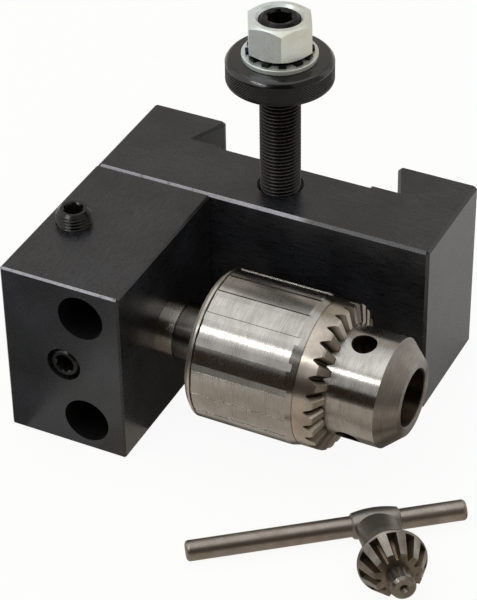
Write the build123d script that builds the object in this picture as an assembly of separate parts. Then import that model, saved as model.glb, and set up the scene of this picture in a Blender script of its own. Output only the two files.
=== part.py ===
from build123d import *
import os
from math import asin, atan, atan2, cos, degrees, hypot, pi, radians, sin, tan

# Drill chuck holder for a quick-change tool post, with its chuck and chuck key.
# Lengths are millimetres and angles are degrees.
# The origin is the centre of the dovetail block's underside, where the holder rests.
# X runs along the chuck axis towards the nose, Y towards the dovetail slot, Z up.

# Fits between pieces
running_gap = 0.08
sliding_gap = 0.03
press_gap = 0.02
floor_gap = 0.02

# How far a cutter stands out of what it cuts
overcut = 1.0
valley_overcut = 1.5

# Dovetail block
block_length = 126.0
block_depth = 44.4
block_height = 67.6
block_chamfer = 1.0
slot_mouth = 65.8
slot_floor = 78.5
slot_depth = 15.0
slot_lip_round = 1.8
relief_width = 58.5
relief_depth = 1.3

# Chuck arm, bolted to the left end of the block's front
arm_width = 44.6
arm_length = 67.2
arm_chamfer = 0.7

# Arm screws
screw_thread_radius = 5.0
screw_length = 50.0
screw_head_radius = 8.0
screw_head_height = 10.0
screw_socket_flats = 8.0
screw_socket_depth = 5.0
screw_edge = 0.8
screw_from_left = 30.1
screw_offset = 21.8
counterbore_radius = 8.4
counterbore_depth = 35.0
screw_hole_radius = 5.5
tapped_hole_spare = 2.0

# Set screws that lock the arbor
set_thread_radius = 6.3
set_point_radius = 5.2
set_chamfer = 0.9
set_socket_flats = 6.35
set_socket_depth = 6.0
top_set_from_left = 9.8
top_set_proud = 5.3
front_set_from_left = 22.5
front_set_recess = 0.4

# Height stud and its nuts
stud_radius = 7.145
stud_depth = 22.0
stud_stand = 66.9
stud_from_left = 63.7
stud_from_front = 16.2
stud_chamfer = 1.2
stud_socket_flats = 7.94
stud_socket_depth = 7.0
stud_countersink_radius = 8.2
knurl_underside = 42.9
knurl_radius = 18.5
knurl_height = 8.8
knurl_round = 1.5
washer_radius = 13.0
washer_hole_radius = 7.6
washer_thickness = 1.8
washer_round = 0.3
lock_ring_radius = 9.6
lock_tooth_radius = 11.6
lock_thickness = 1.2
lock_tooth_count = 12
lock_tooth_width = 2.6
hex_flats = 21.0
hex_height = 12.2
hex_face_radius = 9.9
hex_chamfer_angle = 32.0
hex_turn = 57.6

# Arbor
shank_radius = 10.0
shank_show = 6.4
shank_recess = 1.0
shank_flat_depth = 1.0
shank_flat_half = 8.0
arbor_edge = 0.8
neck_radius = 10.35
neck_groove = 0.8
neck_groove_depth = 0.7
shoulder_gap = 1.2
overhang = 19.0
taper_big_radius = 7.925
taper_small_radius = 7.12
taper_length = 25.4

# Chuck body, whose working parts are placed from its front face
flange_thickness = 2.4
flange_edge = 1.6
mouth_edge = 0.5
sleeve_radius = 26.25
rear_radius = 23.95
nut_from_front = 31.1
nut_length = 8.0
groove_clearance = 0.4
nose_radius = 19.05
bevel_length = 6.3
chuck_length = 72.0
front_radius = 13.4
nose_bore_radius = 10.0
nose_bore_depth = 10.6
jaw_chamber_radius = 9.2
jaw_chamber_depth = 22.6
centre_bore_radius = 6.6
key_hole_from_front = 16.8
key_hole_radius = 4.3
key_hole_count = 3
key_hole_lean = 7.0

# Jaws, which slide in bores that lean towards the axis
jaw_count = 3
jaw_angle = 14.0
jaw_radius = 4.4
jaw_reach = 41.0
jaw_grip_open = 6.35
jaw_tip_show = 2.9
jaw_tip_offset = 1.6
jaw_apex_gap = 0.12
jaw_thread_pitch = 1.5875
jaw_thread_depth = 0.75
jaw_thread_land = 0.7
jaw_thread_crests = 15
jaw_bore_spare = 1.0

# Sleeve with its grip flutes and bevel teeth
sleeve_gap = 0.35
sleeve_bore_radius = 24.05
sleeve_edge = 0.4
flute_count = 18
flute_width = 2.75
flute_depth = 0.35
flute_phase = 57.2
seam_from_front = 32.7
seam_width = 0.4
seam_depth = 0.35
ring_radius = 25.4
ring_taper_length = 3.2
sleeve_teeth = 26
tooth_phase = 75.5
tooth_tip_radius = 25.1
tooth_tip_slope = 0.335
tooth_root_slope = 0.456
tooth_floor_share = 0.10
tooth_mouth_share = 0.62
tooth_inner_radius = 19.7

# Chuck key
key_teeth = 11
key_tip_slope = 0.42
key_root_slope = 0.30
key_tooth_floor_share = 0.22
key_tooth_mouth_share = 0.72
key_gear_outer = 27.4
key_gear_inner = 18.6
key_rim_station = 26.0
key_rim_thickness = 1.0
key_rim_edge = 0.5
key_gear_back = 2.5
key_neck_radius = 7.0
key_neck_foot = 1.0
key_neck_station = 15.6
key_neck_share = 0.86
key_pilot_length = 8.4
key_pilot_clearance = 0.2
key_pilot_chamfer = 0.9
key_centre_radius = 1.5
key_head_radius = 5.2
key_head_half = 8.6
key_head_end_radius = 4.3
key_head_chamfer = 1.2
key_head_shoulder = 1.0
key_bar_radius = 3.5
key_bar_long = 62.9
key_bar_short = 30.4
key_bar_round = 1.3
key_place = (73.7, -87.8)
key_heading = 35.7

# Places that follow from the sizes above, with stations counted from the chuck's back face
block_left = -block_length / 2
block_front = -block_depth / 2
block_back = block_depth / 2
mid_height = block_height / 2
arm_right = block_left + arm_width
arm_front = block_front - arm_length
axis_y = block_front - arm_length / 2
chuck_back = arm_right + overhang
jaw_closed_tip = chuck_length + jaw_tip_show
jaw_lean = tan(radians(jaw_angle))
jaw_travel = jaw_grip_open / sin(radians(jaw_angle))
jaw_outer = jaw_radius / cos(radians(jaw_angle))
nut_end = chuck_length - nut_from_front
nut_start = nut_end - nut_length
bevel_start = chuck_length - bevel_length
key_hole_station = chuck_length - key_hole_from_front
seam_station = chuck_length - seam_from_front
stud_place = Pos(block_left + stud_from_left, block_front + stud_from_front, 0)
knurl_base = block_height + knurl_underside
washer_base = knurl_base + knurl_height
lock_base = washer_base + washer_thickness
hex_base = lock_base + lock_thickness
key_small_end = key_rim_station + key_gear_outer - key_gear_inner
key_tip_radius = key_tip_slope * key_gear_outer
key_pilot_radius = key_hole_radius - key_pilot_clearance
key_pilot_end = key_small_end + key_pilot_length


def turned(points):
    """Solid turned about X from an outline of (station, radius) points."""
    outline = make_face(Polyline(*points, close=True))
    return revolve(outline, Axis.X)


def rod(radius, start, end):
    """Plain cylinder about X from one station to another."""
    return turned([(start, 0), (end, 0), (end, radius), (start, radius)])


def upright(radius, low, high):
    """Plain cylinder about Z from one height to another."""
    return Pos(0, 0, low) * Cylinder(radius, high - low, align=(Align.CENTER, Align.CENTER, Align.MIN))


def hex_prism(flats, low, high):
    """Hexagonal prism about Z between two heights, with its flats that far apart."""
    outline = RegularPolygon(flats / 2, 6, major_radius=False)
    return Pos(0, 0, low) * extrude(outline, high - low)


def station(offset):
    """Place on the chuck axis, that far in front of the chuck's back face."""
    return Pos(chuck_back + offset, axis_y, mid_height)


def about_axis(angle):
    """Turn about the chuck axis, counted upwards from the side away from the block."""
    return Rot(180 - angle, 0, 0)


def jaw_axis_radius(at):
    """Distance from the chuck axis to a jaw's own axis at a station."""
    return jaw_tip_offset + (jaw_closed_tip - at) * jaw_lean


def export(node, solid):
    """Write one node's solid, or group of solids, to its file."""
    solid.label = node
    export_step(solid, "parts/" + node + ".step")


def dovetail_outline():
    """Plan of the dovetail block, with the slot open at its back."""
    floor_y = block_back - slot_depth
    relief_y = floor_y - relief_depth
    half = block_length / 2
    points = [
        (-half, block_front),
        (half, block_front),
        (half, block_back),
        (slot_mouth / 2, block_back),
        (slot_floor / 2, floor_y),
        (relief_width / 2, floor_y),
        (relief_width / 2, relief_y),
        (-relief_width / 2, relief_y),
        (-relief_width / 2, floor_y),
        (-slot_floor / 2, floor_y),
        (-slot_mouth / 2, block_back),
        (-half, block_back),
    ]
    outline = make_face(Polyline(*points, close=True))
    lips = outline.vertices().filter_by(lambda v: abs(abs(v.X) - slot_mouth / 2) < 0.01)
    outline = fillet(lips, slot_lip_round)
    corners = outline.vertices().filter_by(lambda v: abs(abs(v.X) - half) < 0.01)
    return chamfer(corners, block_chamfer)


def make_dovetail_block():
    """Block that hooks over the tool post's dovetail, tapped for the stud and the arm screws."""
    block = extrude(dovetail_outline(), block_height)
    ends = block.faces().sort_by(Axis.Z)
    block = chamfer(ends[0].edges() + ends[-1].edges(), block_chamfer)
    stud_hole = upright(stud_radius + press_gap, block_height - stud_depth, block_height + overcut)
    countersink_depth = stud_countersink_radius - stud_radius
    countersink = Pos(0, 0, block_height) * Cone(
        stud_radius,
        stud_countersink_radius + countersink_depth,
        2 * countersink_depth,
    )
    block -= stud_place * (stud_hole + countersink)
    for hole in arm_screw_axes():
        depth = screw_length - (arm_length - counterbore_depth) + tapped_hole_spare
        block -= hole * rod(screw_thread_radius + press_gap, arm_length - overcut, arm_length + depth)
    return block


def arm_screw_axes():
    """Places on the arm's front face of the two screws, with X pointing into the arm."""
    x = block_left + screw_from_left
    return [
        Pos(x, arm_front, mid_height + side * screw_offset) * Rot(0, 0, 90)
        for side in (-1, 1)
    ]


def top_set_place():
    """Foot of the top set screw on the arbor's flat, with Z pointing out of the arm."""
    return Pos(block_left + top_set_from_left, axis_y, mid_height + shank_radius - shank_flat_depth)


def front_set_place():
    """Foot of the front set screw on the arbor's flat, with Z pointing out of the arm."""
    foot_y = axis_y - shank_radius + shank_flat_depth
    return Pos(block_left + front_set_from_left, foot_y, mid_height) * Rot(90, 0, 0)


def make_chuck_arm():
    """Arm that carries the arbor, counterbored for its screws."""
    size = (arm_width, arm_length, block_height)
    arm = Box(*size, align=(Align.MIN, Align.MIN, Align.MIN))
    arm = chamfer(arm.edges(), arm_chamfer)
    arm = Pos(block_left, arm_front, 0) * arm
    for hole in arm_screw_axes():
        arm -= hole * rod(counterbore_radius, -overcut, counterbore_depth)
        arm -= hole * rod(screw_hole_radius, -overcut, arm_length + overcut)
    shank_bore = rod(shank_radius + sliding_gap, block_left - overcut, arm_right + overcut)
    arm -= Pos(0, axis_y, mid_height) * shank_bore
    arm -= top_set_place() * upright(set_thread_radius + press_gap, 0, block_height)
    arm -= front_set_place() * upright(set_thread_radius + press_gap, 0, arm_length)
    return arm


def make_arm_screw():
    """Socket head cap screw about X, with its head's seat at the counterbore's floor."""
    seat = counterbore_depth
    top = seat - screw_head_height
    edge = screw_edge
    screw = turned([
        (top, 0),
        (top, screw_head_radius - edge),
        (top + edge, screw_head_radius),
        (seat, screw_head_radius),
        (seat, screw_thread_radius),
        (seat + screw_length - edge, screw_thread_radius),
        (seat + screw_length, screw_thread_radius - edge),
        (seat + screw_length, 0),
    ])
    socket = hex_prism(screw_socket_flats, -overcut, screw_socket_depth)
    return screw - Pos(top, 0, 0) * Rot(0, 90, 0) * socket


def make_set_screw(length):
    """Flat-point set screw standing on its point at Z = 0, with a hex socket on top."""
    profile = [
        (0, 0),
        (0, set_point_radius),
        (set_thread_radius - set_point_radius, set_thread_radius),
        (length - set_chamfer, set_thread_radius),
        (length, set_thread_radius - set_chamfer),
        (length, 0),
    ]
    screw = Rot(0, -90, 0) * turned(profile)
    return screw - hex_prism(set_socket_flats, length - set_socket_depth, length + overcut)


def top_set_length():
    """Length that leaves the top set screw standing proud of the arm."""
    return block_height + top_set_proud - mid_height - shank_radius + shank_flat_depth


def front_set_length():
    """Length that leaves the front set screw just under the arm's face."""
    return arm_length / 2 - shank_radius + shank_flat_depth - front_set_recess


def make_height_stud():
    """Stud that sets the cutting height, with a hex socket in its top."""
    low = block_height - stud_depth
    top = block_height + stud_stand
    profile = [
        (low, 0),
        (low, stud_radius - stud_chamfer),
        (low + stud_chamfer, stud_radius),
        (top - stud_chamfer, stud_radius),
        (top, stud_radius - stud_chamfer),
        (top, 0),
    ]
    stud = Rot(0, -90, 0) * turned(profile)
    stud -= hex_prism(stud_socket_flats, top - stud_socket_depth, top + overcut)
    return stud_place * stud


def make_knurled_nut():
    """Round nut whose underside stops on the tool post."""
    nut = upright(knurl_radius, knurl_base, washer_base)
    ends = nut.faces().sort_by(Axis.Z)
    nut = fillet(ends[-1].edges() + ends[0].edges(), knurl_round)
    nut -= upright(stud_radius + running_gap, knurl_base - overcut, washer_base + overcut)
    return stud_place * nut


def make_flat_washer():
    """Flat washer between the knurled nut and the lock washer."""
    washer = upright(washer_radius, washer_base, lock_base)
    washer = fillet(washer.edges(), washer_round)
    washer -= upright(washer_hole_radius, washer_base - overcut, lock_base + overcut)
    return stud_place * washer


def make_lock_washer():
    """Lock washer with teeth round its outside."""
    washer = upright(lock_ring_radius, lock_base, hex_base)
    reach = lock_tooth_radius - washer_hole_radius
    tooth = Pos(washer_hole_radius + reach / 2, 0, (lock_base + hex_base) / 2) * Box(
        reach,
        lock_tooth_width,
        lock_thickness,
    )
    for index in range(lock_tooth_count):
        washer += Rot(0, 0, 360 * index / lock_tooth_count) * tooth
    washer -= upright(washer_hole_radius, lock_base - overcut, hex_base + overcut)
    return stud_place * washer


def make_hex_nut():
    """Hex nut, chamfered at both ends and countersunk, that locks the knurled nut."""
    top = hex_base + hex_height
    nut = hex_prism(hex_flats, hex_base, top)
    corner = hex_flats / 2 / cos(radians(30))
    rise = (corner - hex_face_radius) * tan(radians(hex_chamfer_angle))
    crown = [
        (hex_base, 0),
        (hex_base, hex_face_radius),
        (hex_base + rise, corner),
        (top - rise, corner),
        (top, hex_face_radius),
        (top, 0),
    ]
    nut = nut & (Rot(0, -90, 0) * turned(crown))
    bore = stud_radius + running_gap
    mouth = stud_countersink_radius
    deep = mouth - bore
    countersunk = [
        (hex_base - overcut, 0),
        (hex_base - overcut, bore),
        (top - deep, bore),
        (top, mouth),
        (top + overcut, mouth),
        (top + overcut, 0),
    ]
    nut -= Rot(0, -90, 0) * turned(countersunk)
    return stud_place * Rot(0, 0, hex_turn) * nut


def make_arbor():
    """Arbor with a straight shank in the arm and a taper in the chuck."""
    start = block_left + shank_recess
    step = arm_right + shank_show
    neck = step + neck_groove
    shoulder = chuck_back - shoulder_gap
    edge = arbor_edge
    growth = (taper_big_radius - taper_small_radius) / taper_length
    tip = taper_length - edge
    arbor = turned([
        (start, 0),
        (start, shank_radius - edge),
        (start + edge, shank_radius),
        (step, shank_radius),
        (step, shank_radius - neck_groove_depth),
        (neck, shank_radius - neck_groove_depth),
        (neck, neck_radius),
        (shoulder - edge, neck_radius),
        (shoulder, neck_radius - edge),
        (shoulder, taper_big_radius + growth * shoulder_gap - press_gap),
        (chuck_back + tip, taper_big_radius - growth * tip - press_gap),
        (chuck_back + tip, 0),
    ])
    arbor = Pos(0, axis_y, mid_height) * arbor
    flat_size = (2 * shank_flat_half, 2 * shank_radius, 2 * shank_flat_depth)
    arbor -= top_set_place() * Pos(0, 0, shank_flat_depth) * Box(*flat_size)
    arbor -= front_set_place() * Pos(0, 0, shank_flat_depth) * Box(*flat_size)
    return arbor


def jaw_bore():
    """Cutter for the leaning bore of the jaw at the top of the chuck, before it is turned."""
    tail = jaw_closed_tip - jaw_travel * cos(radians(jaw_angle)) - jaw_reach
    start = tail - jaw_bore_spare
    mouth = Vector(jaw_closed_tip, 0, jaw_tip_offset)
    place = Plane(mouth, x_dir=(0, 1, 0), z_dir=(-cos(radians(jaw_angle)), 0, sin(radians(jaw_angle))))
    length = (jaw_closed_tip - start) / cos(radians(jaw_angle))
    radius = jaw_radius + running_gap
    return place * Cylinder(radius, length, align=(Align.CENTER, Align.CENTER, Align.MIN))


def jaw_turns():
    """Turns that bring each jaw from the top to its place between two key holes."""
    return [Rot(key_hole_lean + 180 + 360 * index / jaw_count, 0, 0) for index in range(jaw_count)]


def make_chuck_body():
    """Body of the chuck, with the taper socket, jaw bores, nut groove and key holes."""
    groove_radius = jaw_axis_radius(nut_end) + jaw_outer - groove_clearance
    body = turned([
        (0, 0),
        (0, sleeve_radius - flange_edge),
        (flange_edge, sleeve_radius),
        (flange_thickness, sleeve_radius),
        (flange_thickness, rear_radius),
        (nut_start - running_gap, rear_radius),
        (nut_start - running_gap, groove_radius),
        (nut_end + running_gap, groove_radius),
        (nut_end + running_gap, nose_radius),
        (bevel_start, nose_radius),
        (chuck_length, front_radius),
        (chuck_length, 0),
    ])
    mouth = nose_bore_radius + mouth_edge
    body -= turned([
        (-overcut, 0),
        (-overcut, taper_big_radius),
        (0, taper_big_radius),
        (taper_length, taper_small_radius),
        (taper_length, centre_bore_radius),
        (chuck_length - jaw_chamber_depth, centre_bore_radius),
        (chuck_length - jaw_chamber_depth, jaw_chamber_radius),
        (chuck_length - nose_bore_depth, jaw_chamber_radius),
        (chuck_length - nose_bore_depth, nose_bore_radius),
        (chuck_length - mouth_edge, nose_bore_radius),
        (chuck_length, mouth),
        (chuck_length + overcut, mouth),
        (chuck_length + overcut, 0),
    ])
    for turn in jaw_turns():
        body -= turn * jaw_bore()
    key_hole = upright(key_hole_radius, jaw_chamber_radius / 2, nose_radius + overcut)
    key_hole = Pos(key_hole_station, 0, 0) * key_hole
    for index in range(key_hole_count):
        body -= Rot(key_hole_lean + 360 * index / key_hole_count, 0, 0) * key_hole
    return station(0) * body


def make_jaw():
    """Jaw at the top of the chuck in its open place, before it is turned about the axis."""
    lean = radians(jaw_angle)
    tip = Vector(jaw_closed_tip, 0, jaw_tip_offset)
    backward = Vector(-cos(lean), 0, sin(lean))
    place = Plane(tip, x_dir=(0, 1, 0), z_dir=backward)
    ahead = 3 * jaw_radius
    length = jaw_reach / cos(lean) + ahead
    jaw = place * Pos(0, 0, -ahead) * Cylinder(
        jaw_radius,
        length,
        align=(Align.CENTER, Align.CENTER, Align.MIN),
    )
    spread = 3 * jaw_radius + jaw_axis_radius(jaw_closed_tip - jaw_reach)
    side = spread * tan(radians(180 / jaw_count))
    wedge = make_face(Polyline((0, jaw_apex_gap), (side, spread), (-side, spread), close=True))
    tail = jaw_closed_tip - 2 * jaw_reach
    wedge_place = Plane((tail, 0, 0), x_dir=(0, 1, 0), z_dir=(1, 0, 0))
    jaw = jaw & (wedge_place * extrude(wedge, jaw_closed_tip - tail))
    groove = Cylinder(2 * jaw_radius, jaw_thread_pitch - jaw_thread_land)
    groove -= Cylinder(jaw_radius - jaw_thread_depth, jaw_thread_pitch)
    groove = groove & (Pos(0, 2 * jaw_radius, 0) * Box(4 * jaw_radius, 4 * jaw_radius, jaw_thread_pitch))
    outward = Plane(tip, x_dir=(0, -1, 0), z_dir=backward)
    first = jaw_reach / cos(lean) - jaw_thread_crests * jaw_thread_pitch
    for index in range(jaw_thread_crests):
        jaw -= outward * Pos(0, 0, first + (index + 0.5) * jaw_thread_pitch) * groove
    return Pos(jaw_travel * backward.X, 0, jaw_travel * backward.Z) * jaw


def make_nut_halves():
    """Two halves of the split nut that the sleeve carries round the body's groove."""
    gap = running_gap
    back_radius = jaw_axis_radius(nut_start) + jaw_outer + gap
    front_radius_inside = jaw_axis_radius(nut_end) + jaw_outer + gap
    outer = sleeve_bore_radius - press_gap
    ring = turned([
        (nut_start, back_radius),
        (nut_start, outer),
        (nut_end, outer),
        (nut_end, front_radius_inside),
    ])
    half_cut = Pos(nut_start, 0, 2 * outer + press_gap) * Box(4 * nut_length, 4 * outer, 4 * outer)
    halves = []
    for side in (0, 180):
        halves.append(station(0) * about_axis(0) * (ring & (Rot(side, 0, 0) * half_cut)))
    return halves


def bevel_valley(teeth, root_slope, tip_slope, floor_share, mouth_share, outer, inner):
    """Space between two bevel teeth, about X, narrowing towards the pitch cones' apex at the origin.

    The slopes are distance from the gear's own axis over distance from the mating gear's axis.
    The reaches are distances from the mating gear's axis, and the space lies on the Y side.
    """
    root = atan(root_slope)
    depth_angle = atan(tip_slope) - root
    along = Vector(-cos(root), sin(root), 0)
    outward = Vector(sin(root), cos(root), 0)
    across = Vector(0, 0, 1)
    ends = []
    for reach in (outer, inner):
        distance = reach / cos(root)
        pitch = 2 * pi * reach * root_slope / teeth
        depth = distance * tan(depth_angle)
        rise = valley_overcut * depth
        floor = floor_share * pitch / 2
        mouth = floor + (mouth_share * pitch / 2 - floor) * rise / depth
        outline = make_face(Polyline((floor, 0), (mouth, rise), (-mouth, rise), (-floor, 0), close=True))
        place = Plane(along * distance, x_dir=across, z_dir=across.cross(outward))
        ends.append(place * outline)
    return loft(ends, ruled=True)


def make_sleeve():
    """Sleeve that turns on the body, fluted for grip, with the bevel teeth on its front."""
    back = flange_thickness + sleeve_gap
    edge = sleeve_edge
    cone = key_hole_station - tooth_tip_slope * tooth_tip_radius
    back_slope = key_teeth / sleeve_teeth
    cone_start = cone - (ring_radius - tooth_tip_radius) / back_slope
    inner_tip = key_hole_station - tooth_tip_slope * tooth_inner_radius
    bore = nose_radius + running_gap
    sleeve = turned([
        (back, sleeve_bore_radius),
        (back, sleeve_radius - edge),
        (back + edge, sleeve_radius),
        (seam_station - ring_taper_length, sleeve_radius),
        (seam_station, ring_radius),
        (seam_station, ring_radius - seam_depth),
        (seam_station + seam_width, ring_radius - seam_depth),
        (seam_station + seam_width, ring_radius),
        (cone_start, ring_radius),
        (cone, tooth_tip_radius),
        (inner_tip, tooth_inner_radius),
        (inner_tip - edge, bore),
        (nut_end, bore),
        (nut_end, sleeve_bore_radius),
    ])
    flute_length = seam_station - edge - back
    flute = Pos(back + flute_length / 2, 0, sleeve_radius) * Box(flute_length, flute_width, 2 * flute_depth)
    for index in range(flute_count):
        angle = flute_phase + 360 * index / flute_count
        sleeve -= about_axis(angle) * Rot(-90, 0, 0) * flute
    valley = Pos(key_hole_station, 0, 0) * bevel_valley(
        sleeve_teeth,
        1 / tooth_root_slope,
        1 / tooth_tip_slope,
        tooth_floor_share,
        tooth_mouth_share,
        tooth_root_slope * (sleeve_radius + 2 * overcut),
        tooth_root_slope * (bore - overcut),
    )
    for index in range(sleeve_teeth):
        angle = tooth_phase + 360 * index / sleeve_teeth
        sleeve -= about_axis(angle) * valley
    return station(0) * sleeve


def key_tilt():
    """Lean of the key on the floor, where its head and its gear's rim both touch."""
    reach = hypot(key_rim_station, key_tip_radius)
    return degrees(atan2(key_tip_radius, key_rim_station) - asin(key_head_radius / reach))


def key_roll():
    """Turn about the key's own axis, where the long end of its bar touches the floor too."""
    drop = (key_head_radius - key_bar_radius) / (key_bar_long - key_bar_round)
    return degrees(asin(drop / cos(radians(key_tilt()))))


def key_pose():
    """Place of the key's bar and head, with Z along the key towards its pilot and X along the bar."""
    heading = radians(key_heading)
    tilt = radians(key_tilt())
    towards = Vector(sin(heading) * cos(tilt), -cos(heading) * cos(tilt), sin(tilt))
    bar = Vector(cos(heading), sin(heading), 0)
    centre = Vector(key_place[0], key_place[1], key_head_radius + floor_gap)
    return Plane(centre, x_dir=bar, z_dir=towards) * Rot(0, 0, key_roll())


def make_key_body():
    """Key body, with a barrel head for the bar, a neck, a bevel gear and a pilot."""
    half = key_head_half
    face = key_head_end_radius - key_head_chamfer
    shoulder = half - key_head_shoulder
    barrel = make_face(
        Polyline((-half, 0), (-half, face), (-shoulder, key_head_end_radius))
        + ThreePointArc(
            (-shoulder, key_head_end_radius),
            (0, key_head_radius),
            (shoulder, key_head_end_radius),
        )
        + Polyline((shoulder, key_head_end_radius), (half, face), (half, 0), (-half, 0))
    )
    body = revolve(barrel, Axis.X)
    foot = Ellipse(key_head_half * key_neck_share, key_head_radius * key_neck_share)
    neck_low = Plane.XY.offset(key_neck_foot) * foot
    neck_high = Plane.XY.offset(key_neck_station) * Circle(key_neck_radius)
    body += loft([neck_low, neck_high])
    rim_back = key_rim_station - key_rim_thickness
    gear = turned([
        (key_neck_station, 0),
        (key_neck_station, key_neck_radius),
        (rim_back - key_gear_back, key_neck_radius),
        (rim_back, key_tip_radius - key_rim_edge),
        (rim_back + key_rim_edge, key_tip_radius),
        (key_rim_station, key_tip_radius),
        (key_small_end, key_tip_slope * key_gear_inner),
        (key_small_end, key_pilot_radius),
        (key_pilot_end - key_pilot_chamfer, key_pilot_radius),
        (key_pilot_end, key_pilot_radius - key_pilot_chamfer),
        (key_pilot_end, key_centre_radius),
        (key_pilot_end - key_centre_radius, 0),
    ])
    valley = Pos(key_rim_station + key_gear_outer, 0, 0) * bevel_valley(
        key_teeth,
        key_root_slope,
        key_tip_slope,
        key_tooth_floor_share,
        key_tooth_mouth_share,
        key_gear_outer,
        key_gear_inner - overcut,
    )
    for index in range(key_teeth):
        gear -= Rot(360 * index / key_teeth, 0, 0) * valley
    body += Rot(0, -90, 0) * gear
    body -= rod(key_bar_radius + press_gap, -half - overcut, half + overcut)
    return key_pose() * body


def make_key_bar():
    """Round bar pressed through the key's head, longer on one side."""
    bar = rod(key_bar_radius, -key_bar_long, key_bar_short)
    bar = fillet(bar.edges(), key_bar_round)
    return key_pose() * bar


os.makedirs("parts", exist_ok=True)
export("dovetail_block", make_dovetail_block())
export("chuck_arm", make_chuck_arm())
export("arm_screws", Compound(children=[place * make_arm_screw() for place in arm_screw_axes()]))
export("top_set_screw", top_set_place() * make_set_screw(top_set_length()))
export("front_set_screw", front_set_place() * make_set_screw(front_set_length()))
export("height_stud", make_height_stud())
export("knurled_nut", make_knurled_nut())
export("flat_washer", make_flat_washer())
export("lock_washer", make_lock_washer())
export("hex_nut", make_hex_nut())
export("chuck_arbor", make_arbor())
export("chuck_body", make_chuck_body())
export("chuck_sleeve", make_sleeve())
for name, half in zip(("nut_half_a", "nut_half_b"), make_nut_halves()):
    export(name, half)
for number, turn in enumerate(jaw_turns(), start=1):
    export("jaw_" + str(number), station(0) * turn * make_jaw())
export("key_body", make_key_body())
export("key_bar", make_key_bar())
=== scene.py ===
"""Looks of a drill chuck holder, its drill chuck and its chuck key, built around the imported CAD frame.

Everything is in metres in the part's own frame: X runs along the chuck axis towards its nose,
Y towards the dovetail slot and Z up from the block's underside.
"""

import logging
from collections.abc import Callable
from dataclasses import dataclass, field
from enum import Enum
from functools import reduce
from math import asin, ceil, cos, pi, radians, sin, tan, tau

import bmesh
import bpy
import numpy as np
from mathutils import Matrix, Vector


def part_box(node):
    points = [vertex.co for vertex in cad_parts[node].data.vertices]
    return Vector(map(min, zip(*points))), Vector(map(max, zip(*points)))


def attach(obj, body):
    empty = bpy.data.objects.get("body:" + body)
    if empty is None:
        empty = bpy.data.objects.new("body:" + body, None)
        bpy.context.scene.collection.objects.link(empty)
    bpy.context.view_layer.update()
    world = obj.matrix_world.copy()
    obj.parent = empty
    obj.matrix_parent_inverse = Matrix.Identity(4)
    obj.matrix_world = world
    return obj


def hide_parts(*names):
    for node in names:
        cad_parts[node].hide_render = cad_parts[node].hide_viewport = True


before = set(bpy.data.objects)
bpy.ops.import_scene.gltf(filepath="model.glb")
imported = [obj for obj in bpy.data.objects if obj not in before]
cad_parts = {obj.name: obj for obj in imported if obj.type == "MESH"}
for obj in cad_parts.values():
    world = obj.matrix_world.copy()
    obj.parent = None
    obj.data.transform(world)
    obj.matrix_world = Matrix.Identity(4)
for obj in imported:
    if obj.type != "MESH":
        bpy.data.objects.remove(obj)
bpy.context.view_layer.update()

MM = 0.001
MICRON = 1e-6
EDGE = 0.1 * MM  # half the width over which one finish gives way to the next
SHEET_WELD = 2 * MICRON
PIECE_WELD = 3 * MICRON
CREASE = radians(38)
ALONG_CHUCK = Vector((1, 0, 0))
UP = Vector((0, 0, 1))
LOG = logging.getLogger("holder")

Tree = bpy.types.NodeTree
Node = bpy.types.Node
Socket = bpy.types.NodeSocket
Material = bpy.types.Material
Skin = bmesh.types.BMesh


class Lay(Enum):
    """Direction of the tool marks on a surface, as the scale of a noise across X, Y and Z."""

    ALONG_X = (0.1, 1.0, 1.0)
    ALONG_Y = (1.0, 0.1, 1.0)
    ROUND_X = (1.0, 0.05, 0.05)
    EVEN = (1.0, 1.0, 1.0)


class RodEnd(Enum):
    """What an end of a threaded piece has."""

    HEX_SOCKET = "hex socket"
    FLAT_POINT = "flat point"


def linear(code: str) -> tuple[float, float, float, float]:
    """Turns an sRGB hex colour into the linear values that Blender's sockets hold.

    Args:
        code: colour such as "#1a2b3c".

    Returns:
        Red, green, blue and an alpha of 1.
    """
    parts = [int(code[at : at + 2], 16) / 255 for at in (1, 3, 5)]
    curved = [p / 12.92 if p <= 0.04045 else ((p + 0.055) / 1.055) ** 2.4 for p in parts]
    return (curved[0], curved[1], curved[2], 1.0)


def add(tree: Tree, kind: str, wires: dict | tuple = (), **settings: object) -> Node:
    """Adds one node with its settings and links.

    Args:
        tree: shader or geometry tree that gets the node.
        kind: the node's type name, without ShaderNode where it starts with that.
        wires: for an input's name or number, a value, a socket, or a node whose first output is used.
            A tuple holds them in the inputs' own order.
        settings: attributes of the node, such as its operation.

    Returns:
        The new node.
    """
    node = tree.nodes.new(kind if "Node" in kind else "ShaderNode" + kind)
    for name, value in settings.items():
        setattr(node, name, value)
    for key, value in wires.items() if isinstance(wires, dict) else enumerate(wires):
        if isinstance(value, Node):
            value = value.outputs[0]
        if isinstance(value, Socket):
            tree.links.new(value, node.inputs[key])
        else:
            node.inputs[key].default_value = value
    return node


def cleared(owner: Material | bpy.types.World) -> Tree:
    """Empties the node tree of a new material or world.

    Args:
        owner: the material or world.

    Returns:
        Its tree.
    """
    owner.use_nodes = True
    owner.node_tree.nodes.clear()
    return owner.node_tree


# Finishes


@dataclass(frozen=True)
class Coat:
    """One finish inside a material's tree, as the sockets or numbers that the shader takes."""

    colour: object
    roughness: object
    metal: object
    height: object


def tool_marks(tree: Tree, lay: Lay, grain_mm: float) -> Node:
    """Object coordinates drawn out along the tool marks, with one unit to a grain."""
    scale = [1 / (grain_mm * MM) * share for share in lay.value]
    return add(tree, "Mapping", {"Vector": add(tree, "TexCoord").outputs["Object"], "Scale": scale})


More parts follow.
